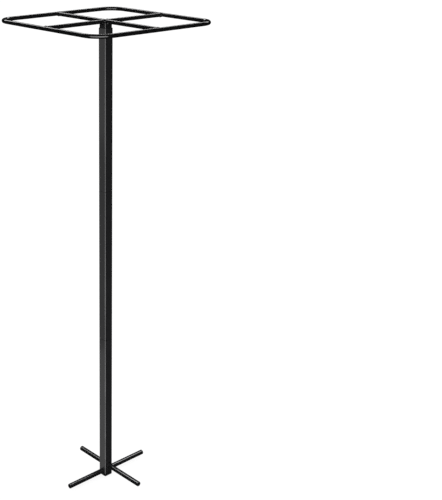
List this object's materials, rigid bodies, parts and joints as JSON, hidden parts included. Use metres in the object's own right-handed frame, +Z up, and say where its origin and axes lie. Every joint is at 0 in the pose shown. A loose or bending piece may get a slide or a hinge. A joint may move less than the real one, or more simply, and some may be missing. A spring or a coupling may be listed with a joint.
{
  "type": "plant support tower",
  "caption": "Tall square steel post with a rounded square hoop and cross on top, pulled apart in sections, and crossing anchor rods through its foot to hold a potted plant.",
  "frame": {"origin": "middle of the foot's underside, on the post's axis", "axes": "+Z up along the post, -Y out of the post's front face, +X to the right"},
  "size_m": [0.375, 0.375, 1.2249],
  "materials": {
    "post_paint": "semi-gloss black powder coat",
    "bar_paint": "semi-gloss black powder coat",
    "cap_plastic": "matte black moulded plastic"
  },
  "bodies": {
    "base": {"foot_cap": "cap_plastic", "lower_post_section": "post_paint", "lower_coupler": "post_paint"},
    "lower_rod": {"lower_base_rod": "bar_paint"},
    "upper_rod": {"upper_base_rod": "bar_paint"},
    "middle": {"middle_post_section": "post_paint", "upper_coupler": "post_paint"},
    "upper": {"upper_post_section": "post_paint", "stub_rest": "post_paint"},
    "top_frame": {"top_ring": "bar_paint", "cross_bar": "bar_paint", "front_half_bar": "bar_paint", "back_half_bar": "bar_paint", "frame_stub": "post_paint", "front_ring_weld": "bar_paint", "back_ring_weld": "bar_paint", "left_ring_weld": "bar_paint", "right_ring_weld": "bar_paint", "front_cross_weld": "bar_paint", "back_cross_weld": "bar_paint", "front_stub_weld": "bar_paint", "back_stub_weld": "bar_paint", "left_stub_weld": "bar_paint", "right_stub_weld": "bar_paint"}
  },
  "joints": [
    {"name": "middle_section_lift", "type": "slide", "parent": "base", "child": "middle", "axis": [0, 0, 1], "range_m": [0, 0.05]},
    {"name": "upper_section_lift", "type": "slide", "parent": "middle", "child": "upper", "axis": [0, 0, 1], "range_m": [0, 0.05]},
    {"name": "frame_lift", "type": "slide", "parent": "upper", "child": "top_frame", "axis": [0, 0, 1], "range_m": [0, 0.05]},
    {"name": "lower_rod_slide", "type": "slide", "parent": "base", "child": "lower_rod", "axis": [0, 1, 0], "range_m": [-0.115, 0.108]},
    {"name": "upper_rod_slide", "type": "slide", "parent": "base", "child": "upper_rod", "axis": [1, 0, 0], "range_m": [-0.114, 0.084]}
  ]
}
